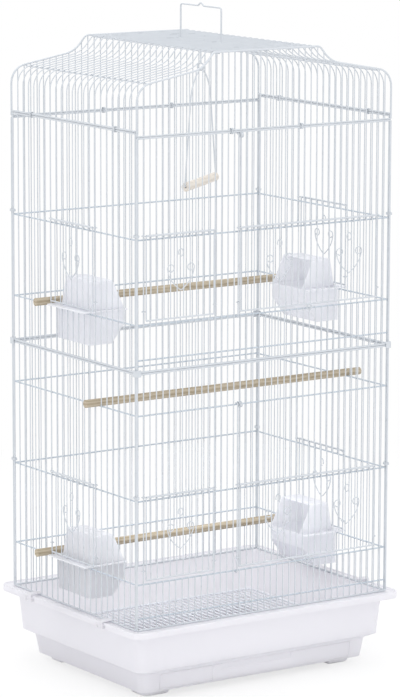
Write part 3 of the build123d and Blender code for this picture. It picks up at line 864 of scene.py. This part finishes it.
@dataclass
class SlidingDoor:
    """A wire door with guide loops, a thick head wire and bent scrolls."""

    section: Section
    side: Side
    node: str
    guides: tuple[int, int]
    scrolls: tuple[float, ...] = (0.5,)
    beside_rod: bool = False
    foot_rise: float = 0.075
    head_rise: float = 0.196
    loop_rise: float = 0.013
    side_offset: float = 0.0032
    loop: float = 0.0023
    loop_wire: float = 0.0008
    scroll_wire: float = 0.0008
    scroll_foot: float = 0.1145
    scroll_eye: float = 0.1465
    scroll_half: float = 0.0168
    scroll_stand: float = 0.00048
    belly: tuple[float, float] = (0.95, 0.014)
    limb_steps: int = 8
    curl: float = 0.0060
    curl_turn_deg: float = 324.0
    curl_tighten: float = 0.25
    curl_steps: int = 18
    hook: tuple[float, float] = (0.0040, 0.0055)
    hook_eye: float = 0.1685
    hook_turn_deg: tuple[float, float] = (210.0, -102.0)
    hook_steps: int = 12
    pull_ring: float = 0.0040
    pull_wire: float = 0.0009
    pull_place: tuple[float, float] = (0.0012, 0.0048)

    @property
    def plane(self) -> float:
        """Distance of the door's wires from the origin."""
        return CAGE.plane(self.side) + CAGE.fill + CAGE.door_gap

    @property
    def posts(self) -> tuple[float, float]:
        """Places of the two guides along the wall."""
        first, last = (CAGE.column(self.side, index) for index in self.guides)
        return (first + CAGE.rod_shift if self.beside_rod else first), last

    def scroll(self, middle: float, plane: float) -> list[Run]:
        """A wire bent to a V whose limbs end in inward curls, and the hook above it.

        Args:
            middle: place of its middle along the wall.
            plane: distance of its wire from the origin.

        Returns:
            The two bent wires.
        """
        foot = CAGE.foot(self.section)
        limb: list[tuple[float, float]] = []
        outer = self.scroll_half + self.curl
        share, lift = self.belly
        for step in range(self.limb_steps + 1):
            t = step / self.limb_steps
            near, pull, far = (1 - t) ** 2, 2 * t * (1 - t), t * t
            z = near * self.scroll_foot + pull * (self.scroll_foot + lift) + far * self.scroll_eye
            limb.append((pull * outer * share + far * outer, z))
        for step in range(1, self.curl_steps + 1):
            a = math.radians(self.curl_turn_deg * step / self.curl_steps)
            radius = self.curl * (1 - self.curl_tighten * step / self.curl_steps)
            limb.append((self.scroll_half + radius * math.cos(a), self.scroll_eye + radius * math.sin(a)))
        right = [Vector((middle + x, -plane, foot + z)) for x, z in limb]
        left = [Vector((middle - x, -plane, foot + z)) for x, z in limb[1:]]
        width, height = self.hook
        eye = foot + self.hook_eye
        start, end = self.hook_turn_deg
        hook = []
        for step in range(self.hook_steps + 1):
            a = math.radians(start + (end - start) * step / self.hook_steps)
            hook.append(Vector((middle + width * math.cos(a), -plane, eye + height * math.sin(a))))
        return [Run(tuple(left[::-1] + right), self.scroll_wire), Run(tuple(hook), self.scroll_wire)]

    def build(self, shop: Workshop) -> bpy.types.Object:
        """Make the door."""
        foot, head = CAGE.foot(self.section) + self.foot_rise, CAGE.foot(self.section) + self.head_rise
        left_post, right_post = self.posts
        left, right = left_post + self.side_offset, right_post - self.side_offset
        y = -self.plane
        runs = [
            straight((left, y, foot), (right, y, foot), CAGE.cross / 2),
            straight((left, y, head), (right, y, head), CAGE.frame / 2),
            straight((left, y, foot), (left, y, head), CAGE.fill / 2),
            straight((right, y, foot), (right, y, head), CAGE.fill / 2),
        ]
        wall_y = -CAGE.plane(self.side)
        left_y = y if self.beside_rod else wall_y
        for z in (foot + self.loop_rise, head):
            runs.append(ring((left_post, left_y, z), self.loop, self.loop_wire))
            runs.append(ring((right_post, wall_y, z), self.loop, self.loop_wire))
        scroll_plane = self.plane + CAGE.fill / 2 + self.scroll_stand
        for share in self.scrolls:
            runs += self.scroll(left_post + (right_post - left_post) * share, scroll_plane)
        if self.beside_rod:
            out, drop = self.pull_place
            middle = ((left_post + right_post) / 2, y - out, foot - drop)
            runs.append(ring(middle, self.pull_ring, self.pull_wire, "Y"))
        meshes = shop.mill.bends(runs)
        first, last = self.guides
        pitch = CAGE.column(self.side, 1) - CAGE.column(self.side, 0)
        meshes.append(
            shop.mill.row(
                last - first - 1,
                (CAGE.column(self.side, first + 1), y, foot),
                (pitch, 0.0, 0.0),
                (0.0, 0.0, head - foot),
                CAGE.upright / 2,
            )
        )
        return shop.piece(f"{self.node}_wires", meshes, WIRE, self.node, [self.node], self.side.turn)


@dataclass
class GuideRods:
    """The rods beside the large doors, hooked over level wires at both ends."""

    guide: int = 15
    hook: float = 0.0020
    hook_lap: float = 0.0006
    bend: float = 0.0016
    coil_turns: int = 3
    coil_points: int = 16
    coil_length: float = 0.0060
    coil_radius: float = 0.0040
    coil_wire: float = 0.0007

    def coil(self, x: float, z: float) -> Run:
        """A thin wire wound round a level wire beside a rod's head.

        Args:
            x: place of the rod.
            z: height of the level wire's middle.

        Returns:
            The wound wire.
        """
        points = []
        steps = self.coil_points * self.coil_turns
        for step in range(steps + 1):
            a = 2 * math.pi * step / self.coil_points
            along = x + CAGE.fill + self.coil_length * step / steps
            out, up = self.coil_radius * math.cos(a), self.coil_radius * math.sin(a)
            points.append(Vector((along, -CAGE.front_plane + out, z + up)))
        return Run(tuple(points), self.coil_wire)

    def build(self, shop: Workshop) -> bpy.types.Object:
        """Make both rods."""
        x = CAGE.column(Side.FRONT, self.guide) + CAGE.rod_shift
        y = -CAGE.front_plane - CAGE.fill - CAGE.door_gap
        inner = -CAGE.front_plane + CAGE.fill / 2 + CAGE.cross - self.hook_lap
        runs = []
        for section in Section:
            low = CAGE.foot(section) + CAGE.sill_rise - CAGE.cross / 2 - self.hook / 2
            if section is Section.LOWER:
                high = CAGE.foot(section) + CAGE.brace_rise + CAGE.cross / 2 + self.hook / 2
            else:
                high = CAGE.head(section, Side.FRONT) - CAGE.frame - self.hook / 2
            corners = [(x, inner, low), (x, y, low), (x, y, high), (x, inner, high)]
            runs.append(Run(tuple(rounded(corners, self.bend)), CAGE.fill / 2))
            runs.append(self.coil(x, high - CAGE.fill / 2 - self.hook / 2))
        return shop.piece("guide_rods_round", shop.mill.bends(runs), WIRE, "cage", ["guide_rods"])


@dataclass
class Roof:
    """The bent roof wires, the two gables, the level wires under them and the clips."""

    shoulder_rise: float = 0.0415
    shoulder: float = 0.027
    shoulder_steps: int = 10
    slope_deg: float = 10.0
    hollow: float = 0.045
    steep_deg: float = 50.0
    crest: float = 0.010
    plateau_half: float = 0.088
    ridges: tuple[float, ...] = (0.0, 0.042, 0.082)
    gable_lap: float = 0.0004
    gable_wire: float = 0.0011
    clip_gap: float = 0.0009
    clip_wire: float = 0.0006
    clip_pitch: float = 0.0012
    front_clips: int = 5
    end_clips: int = 7

    def half_profile(self) -> list[tuple[float, float]]:
        """Middle line of a roof wire from the left eaves to the left edge of the flat top."""
        slope, steep = math.radians(self.slope_deg), math.radians(self.steep_deg)
        left = -CAGE.side_plane
        points = [(left, CAGE.eaves + CAGE.frame / 2), (left, CAGE.eaves + self.shoulder_rise)]
        carry_round(points, self.shoulder, math.pi / 2, slope, self.shoulder_steps, -1)
        crest_x = -self.plateau_half - self.crest * math.sin(steep)
        crest_z = CAGE.plateau - self.crest * (1 - math.cos(steep))
        hollow_x = self.hollow * (math.sin(steep) - math.sin(slope))
        hollow_z = self.hollow * (math.cos(slope) - math.cos(steep))
        x, z = points[-1]
        rise, climb = math.tan(slope), math.tan(steep)
        end = (crest_z - hollow_z - z + rise * x - climb * (crest_x - hollow_x)) / (rise - climb)
        points.append((end, z + rise * (end - x)))
        carry_round(points, self.hollow, slope, steep, 8, 1)
        points.append((crest_x, crest_z))
        carry_round(points, self.crest, steep, 0.0, 5, -1)
        return points

    def profile(self) -> list[tuple[float, float]]:
        """Middle line of a whole roof wire."""
        left = self.half_profile()
        return left + [(-x, z) for x, z in reversed(left)]

    def height(self, x: float) -> float:
        """Height of the middle line over a place on the front."""
        line = self.profile()
        for (ax, az), (bx, bz) in zip(line, line[1:]):
            if ax <= x <= bx and bx > ax:
                return az + (bz - az) * (x - ax) / (bx - ax)
        return line[0][1]

    def build(self, shop: Workshop) -> None:
        """Make every wire of the roof."""
        line = self.profile()
        span = CAGE.side_span / 2
        z = CAGE.eaves + CAGE.frame / 2
        runs = [
            Run(tuple(Vector((x, CAGE.column(Side.LEFT, index), h)) for x, h in line), CAGE.upright / 2)
            for index in range(1, CAGE.side_gaps)
        ]
        for x in (-CAGE.side_plane, CAGE.side_plane):
            runs.append(straight((x, -span, z), (x, span, z), CAGE.frame / 2))
        shop.piece("roof_wires_round", shop.mill.bends(runs), WIRE, "cage", ["roof_wires"])
        for side in (Side.FRONT, Side.BACK):
            y = -CAGE.front_plane
            half = CAGE.width / 2 - CAGE.frame / 2
            foot = z - CAGE.gable_drop
            low = foot - self.gable_lap
            edge = [(line[0][0], foot), *line[1:-1], (line[-1][0], foot)]
            runs = [
                Run(tuple(Vector((x, y, h)) for x, h in edge), CAGE.frame / 2),
                straight((-half, y, low), (half, y, low), self.gable_wire),
            ]
            for index in range(1, CAGE.front_gaps):
                x = CAGE.column(Side.FRONT, index)
                runs.append(straight((x, y, foot), (x, y, self.height(x)), CAGE.upright / 2))
            node = f"roof_{side.name.lower()}_gable"
            shop.piece(f"{node}_wires", shop.mill.bends(runs), WIRE, "cage", [node], side.turn)
        self.level_wires(shop)
        self.clips(shop)

    def level_wires(self, shop: Workshop) -> None:
        """Make the wires that run front to back under the roof wires."""
        drop = CAGE.fill / 2 + CAGE.cross / 2 - CAGE.sink
        span = CAGE.side_span / 2
        slope = math.radians(self.slope_deg)
        shoulder_x, shoulder_z = self.half_profile()[self.shoulder_steps + 1]
        places = [(way * x, CAGE.plateau - drop) for x in self.ridges for way in (-1, 1)]
        for way in (-1, 1):
            x = shoulder_x + CAGE.cross * math.cos(slope) + drop * math.sin(slope)
            places.append((way * x, shoulder_z + CAGE.cross * math.sin(slope) - drop * math.cos(slope)))
        runs = [straight((x, -span, z), (x, span, z), CAGE.cross / 2) for x, z in sorted(set(places))]
        shop.piece("roof_cross_wires_round", shop.mill.bends(runs), WIRE, "cage", ["roof_cross_wires"])

    def clips(self, shop: Workshop) -> None:
        """Make the wire clips that tie the roof to the walls."""
        meshes = []
        across = (0.0, CAGE.frame / 2 + self.clip_gap, 0.0)
        up = (0.0, 0.0, CAGE.frame + self.clip_gap)
        along = (self.clip_pitch, 0.0, 0.0)
        for side in (Side.FRONT, Side.BACK, Side.LEFT, Side.RIGHT):
            offset = self.front_clips if side in (Side.FRONT, Side.BACK) else self.end_clips
            runs = []
            for index in (CAGE.gaps(side) / 2 - offset - 0.5, CAGE.gaps(side) / 2 + offset + 0.5):
                middle = (CAGE.column(side, index), -CAGE.plane(side), CAGE.head(Section.UPPER, side))
                runs += windings(middle, across, up, along, self.clip_wire)
            for mesh in shop.mill.bends(runs):
                mesh.transform(side.turn)
                meshes.append(mesh)
        shop.piece("roof_clips_wound", meshes, WIRE, "cage", ["roof_clips"])


@dataclass
class CornerTies:
    """Wire rings round the corner frame wires."""

    over_lintel: float = 0.006
    wire: float = 0.0008
    gap: float = 0.0009
    pitch: float = 0.0012

    def build(self, shop: Workshop) -> bpy.types.Object:
        """Make the rings of both storeys."""
        across = (CAGE.frame / 2 + self.gap, 0.0, 0.0)
        up = (0.0, CAGE.frame + self.gap, 0.0)
        corner_y = CAGE.depth / 2 - CAGE.frame
        runs = []
        for section in Section:
            level = CAGE.foot(section) + CAGE.lintel_rise + self.over_lintel
            for x in (-CAGE.side_plane, CAGE.side_plane):
                for y in (-corner_y, corner_y):
                    runs += windings((x, y, level), across, up, (0.0, 0.0, self.pitch), self.wire)
        return shop.piece("corner_rings_wound", shop.mill.bends(runs), WIRE, "cage", ["corner_rings"])


@dataclass
class CarryHandle:
    """The folding wire bail on the roof's middle ridge wire."""

    gap_from_centre: float = 3.5
    height: float = 0.051
    wire: float = 0.0013
    bend: float = 0.0045
    kink: tuple[float, float] = (0.007, 0.005)
    ring_radius: float = 0.0030
    ring_wire: float = 0.0010

    def build(self, shop: Workshop) -> bpy.types.Object:
        """Make the bail and its two rings."""
        axis = CAGE.plateau - CAGE.fill / 2 - CAGE.cross / 2
        half = CAGE.column(Side.LEFT, CAGE.side_gaps / 2 + self.gap_from_centre)
        top, foot = CAGE.plateau + self.height, axis + self.ring_radius
        kink_half, kink_rise = self.kink
        corners = [(0, -half, foot), (0, -half, top), (0, -kink_half, top), (0, 0, top + kink_rise)]
        corners += [(0, kink_half, top), (0, half, top), (0, half, foot)]
        runs = [Run(tuple(rounded(corners, self.bend)), self.wire)]
        for y in (-half, half):
            runs.append(ring((0, y, axis), self.ring_radius, self.ring_wire, "Y"))
        return shop.piece("carry_handle_round", shop.mill.bends(runs), WIRE, "handle", ["carry_handle"])


@dataclass
class Swing:
    """The hanger, the wishbone bail and the wooden dowel of the swing."""

    turn_deg: float = 37.0
    apex_rise: float = 0.066
    drop: float = 0.168
    wire: float = 0.0011
    dowel: float = 0.134
    leg_gap: float = 0.0036
    pin: float = 0.008
    eye: float = 0.004
    eye_gap: float = 0.0008
    lap: float = 0.0004
    shoulder: tuple[float, float] = (0.018, 0.008)
    arc: float = 0.058
    arc_end_deg: float = -84.0
    apex_half: float = 0.004
    bend: float = 0.004
    dowel_edge: float = 0.0008

    @property
    def turn(self) -> Matrix:
        """The swing's turn about the vertical."""
        return Matrix.Rotation(math.radians(self.turn_deg), 4, "Z")

    def build(self, shop: Workshop) -> None:
        """Make the hanger, the bail and the dowel."""
        apex = CAGE.eaves + self.apex_rise
        eye_z = apex - self.wire - self.eye_gap + self.eye
        top = CAGE.plateau - CAGE.fill / 2 - CAGE.cross
        hanger = [
            ring((0, 0, eye_z), self.eye + self.wire, self.wire, "X"),
            straight((0, 0, eye_z + self.eye + self.wire), (0, 0, top + self.lap), self.wire),
        ]
        shop.piece("swing_hanger_round", shop.mill.bends(hanger), WIRE, "cage", ["swing_hanger"], self.turn)
        lean_x, lean_z = self.shoulder
        start = -math.atan2(lean_z, lean_x - self.apex_half)
        points = [(0.0, apex), (self.apex_half, apex), (lean_x, apex - lean_z)]
        carry_round(points, self.arc, start, math.radians(self.arc_end_deg), 12, -1)
        pin_x = self.dowel / 2 + self.leg_gap
        points += [(pin_x, apex - self.drop), (pin_x - self.leg_gap - self.pin, apex - self.drop)]
        right = [Vector((x, 0, z)) for x, z in points]
        left = [Vector((-x, 0, z)) for x, z in points[1:]]
        line = rounded(left[::-1] + right, self.bend, False, 4)
        bail = [Run(tuple(line), self.wire)]
        shop.piece("swing_bail_round", shop.mill.bends(bail), WIRE, "swing", ["swing_bail"], self.turn)
        shop.moulded("swing_dowel", "swing", BEECH, self.dowel_edge)


@dataclass
class WireFloor:
    """The loose wire floor over the tray, placed by its CAD node's box."""

    ties: int = 3
    corner: float = 0.006

    def build(self, shop: Workshop) -> bpy.types.Object:
        """Make the floor's frame, wires and ties."""
        low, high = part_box("wire_floor")
        half_x, half_y = high.x - CAGE.frame / 2, high.y - CAGE.frame / 2
        z = high.z - CAGE.frame / 2
        corners = [(-half_x, -half_y, z), (half_x, -half_y, z), (half_x, half_y, z), (-half_x, half_y, z)]
        runs = [Run(tuple(rounded(corners, self.corner, True)), CAGE.frame / 2, True)]
        tie_z = z - CAGE.fill / 2 - CAGE.cross / 2 + CAGE.sink
        for index in range(self.ties):
            y = -high.y + 2 * high.y * (index + 1) / (self.ties + 1)
            runs.append(straight((-half_x, y, tie_z), (half_x, y, tie_z), CAGE.cross / 2))
        meshes = shop.mill.bends(runs)
        step = 2 * half_x / CAGE.front_gaps
        meshes.append(
            shop.mill.row(
                CAGE.front_gaps - 1,
                (-half_x + step, -half_y, z),
                (step, 0.0, 0.0),
                (0.0, 2 * half_y, 0.0),
                CAGE.fill / 2,
            )
        )
        # The floor wires take the paler copy of the wire enamel, which is painted light.
        return shop.piece("wire_floor_round", meshes, FLOOR_WIRE_PAINTED_LIGHT, "cage", ["wire_floor"])


@dataclass
class Mouldings:
    """The plastic base, tray, feet, latches and feeders, and the wooden perches."""

    base_edge: float = 0.0009
    foot_edge: float = 0.0012
    wall_edge: float = 0.0005
    thin_edge: float = 0.0004
    perch_edge: float = 0.0008

    def build(self, shop: Workshop) -> None:
        """Round the edges of every moulded and turned node and dress it."""
        shop.moulded("base_shell", "cage", BASE_PLASTIC, self.base_edge)
        shop.moulded("feet", "cage", FOOT_PLASTIC, self.foot_edge)
        shop.moulded("slide_out_tray", "tray", BASE_PLASTIC, self.thin_edge)
        shop.moulded("tray_surround", "tray", BASE_PLASTIC, self.wall_edge)
        shop.moulded("corner_cleats", "cage", WIRE, self.thin_edge, 2)
        for side in ("left", "right"):
            for place in ("front", "back"):
                latch = f"latch_{side}_{place}"
                shop.moulded(latch, latch, BASE_PLASTIC, self.thin_edge, 2)
            for section in Section:
                feeder = f"{section.value}_{side}"
                shop.moulded(f"{feeder}_cup", f"{feeder}_feeder", FEEDER_PLASTIC, self.thin_edge, 2)
                shop.moulded(f"{feeder}_hood", f"{feeder}_feeder", FEEDER_PLASTIC, self.wall_edge)
        for perch in ("lower", "middle", "upper"):
            shop.moulded(f"perch_{perch}", f"perch_{perch}", PINE, self.perch_edge)


@dataclass(frozen=True)
class Lamp:
    """A soft area lamp that the camera doesn't see."""

    name: str
    place: tuple[float, float, float]
    size: tuple[float, float]
    watts: float
    aimed: bool = True
    glossy: bool = True


LAMPS = (
    Lamp("key", (-2.6, -3.2, 2.2), (2.6, 2.6), 25.2),
    Lamp("top", (0.0, 0.0, 3.4), (2.8, 2.8), 25.2),
    Lamp("fill", (3.0, -2.4, 1.8), (2.6, 2.6), 8.4),
    Lamp("rim", (0.6, 3.2, 2.8), (2.2, 2.2), 12.6),
    Lamp("lift", (0.0, 0.0, 0.30), (0.40, 0.30), 0.24, aimed=False, glossy=False),
)


@dataclass
class Studio:
    """White floor and world, soft lamps and the photograph's camera."""

    azimuth_deg: float = -34.16
    elevation_deg: float = 9.893
    roll_deg: float = 0.15
    distance: float = 5.272
    target: tuple[float, float, float] = (0.0, 0.0, 0.4767)
    lens: float = 182.97
    floor_half: float = 40.0
    floor_drop: float = 0.0005
    floor_grey: float = 0.93
    floor_white: float = 0.7
    shadow_pool: tuple[float, float] = (0.35, 1.6)

    def floor(self) -> None:
        """Make the pale floor, which is white to the camera and keeps a faint shadow."""
        material, graph = shader_graph("studio_floor")
        path = graph.node("ShaderNodeLightPath")
        matt = graph.node("ShaderNodeBsdfDiffuse", None, {"Color": (*[self.floor_grey] * 3, 1.0)})
        white = graph.node("ShaderNodeEmission", None, {"Color": (1.0, 1.0, 1.0, 1.0), "Strength": 1.0})
        place = graph.node("ShaderNodeTexCoord").output("Object")
        away = graph.node("ShaderNodeVectorMath", {"operation": "LENGTH"}, {0: place}).output("Value")
        near, far = self.shadow_pool
        share = graph.node(
            "ShaderNodeMapRange",
            {"interpolation_type": "SMOOTHSTEP"},
            {"Value": away, "From Min": near, "From Max": far, "To Min": self.floor_white, "To Max": 1.0},
        )
        seen = path.output("Is Camera Ray") * share
        mix = graph.node("ShaderNodeMixShader", None, {0: seen, 1: matt, 2: white})
        graph.node("ShaderNodeOutputMaterial", None, {"Surface": mix})
        data = bpy.data.meshes.new("floor")
        half = self.floor_half
        corners = [(-half, -half, 0), (half, -half, 0), (half, half, 0), (-half, half, 0)]
        data.from_pydata(corners, [], [(0, 1, 2, 3)])
        data.materials.append(material)
        plane = bpy.data.objects.new("floor", data)
        bpy.context.collection.objects.link(plane)
        plane.location.z = -self.floor_drop

    def world(self) -> None:
        """Light the scene evenly and show white behind it."""
        world = bpy.data.worlds.new("studio")
        world.use_nodes = True
        graph = Graph(world.node_tree)
        sky = graph.node("ShaderNodeBackground", None, {"Color": (1.0, 1.0, 1.0, 1.0), "Strength": 1.0})
        graph.node("ShaderNodeOutputWorld", None, {"Surface": sky})
        bpy.context.scene.world = world

    def hang(self, lamp: Lamp) -> None:
        """Hang one lamp, which looks at the cage where it is aimed and else straight down."""
        data = bpy.data.lights.new(lamp.name, "AREA")
        data.shape = "RECTANGLE"
        data.size, data.size_y = lamp.size
        data.energy = lamp.watts
        hung = bpy.data.objects.new(lamp.name, data)
        bpy.context.collection.objects.link(hung)
        hung.location = lamp.place
        if lamp.aimed:
            way = Vector(self.target) - Vector(lamp.place)
            hung.rotation_mode = "QUATERNION"
            hung.rotation_quaternion = way.to_track_quat("-Z", "Y")
        hung.visible_camera = False
        hung.visible_glossy = lamp.glossy

    def camera(self) -> None:
        """Set the camera at the photograph's place."""
        azimuth, elevation = math.radians(self.azimuth_deg), math.radians(self.elevation_deg)
        level = math.cos(elevation)
        back = Vector((math.sin(azimuth) * level, -math.cos(azimuth) * level, math.sin(elevation)))
        data = bpy.data.cameras.new("photo_camera")
        data.lens = self.lens
        data.sensor_fit = "AUTO"
        data.sensor_width = 36.0
        data.clip_end = 60.0
        camera = bpy.data.objects.new("photo_camera", data)
        bpy.context.collection.objects.link(camera)
        camera.location = Vector(self.target) + back * self.distance
        roll = Matrix.Rotation(math.radians(self.roll_deg), 3, "Z")
        turn = (-back).to_track_quat("-Z", "Y").to_matrix() @ roll
        camera.rotation_mode = "QUATERNION"
        camera.rotation_quaternion = turn.to_quaternion()
        bpy.context.scene.camera = camera

    def build(self) -> None:
        """Set up the whole studio."""
        bpy.context.scene.view_settings.view_transform = "Standard"
        self.floor()
        self.world()
        for lamp in LAMPS:
            self.hang(lamp)
        self.camera()


def main() -> None:
    """Build the cage round its frame, then the studio."""
    logging.basicConfig(level=logging.INFO, format="%(name)s: %(message)s")
    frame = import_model()
    shop = Workshop(frame)
    front_doors, end_door = ((1, 12), (15, 38)), ((7, 15),)
    doorways = {Side.FRONT: front_doors, Side.LEFT: end_door, Side.RIGHT: end_door, Side.BACK: ()}
    for section in Section:
        for side in Side:
            WallPanel(section, side, doorways[side]).build(shop)
        LevelWires(section).build(shop)
        name = section.value
        SlidingDoor(section, Side.FRONT, f"{name}_small_door", front_doors[0]).build(shop)
        SlidingDoor(
            section,
            Side.FRONT,
            f"{name}_large_door",
            front_doors[1],
            scrolls=(0.286, 0.783),
            beside_rod=True,
        ).build(shop)
        for side in (Side.LEFT, Side.RIGHT):
            SlidingDoor(section, side, f"{name}_{side.name.lower()}_door", end_door[0]).build(shop)
    GuideRods().build(shop)
    CornerTies().build(shop)
    Roof().build(shop)
    CarryHandle().build(shop)
    Swing().build(shop)
    WireFloor().build(shop)
    Mouldings().build(shop)
    Studio().build()
    bpy.context.view_layer.update()


if __name__ == "__main__":
    main()
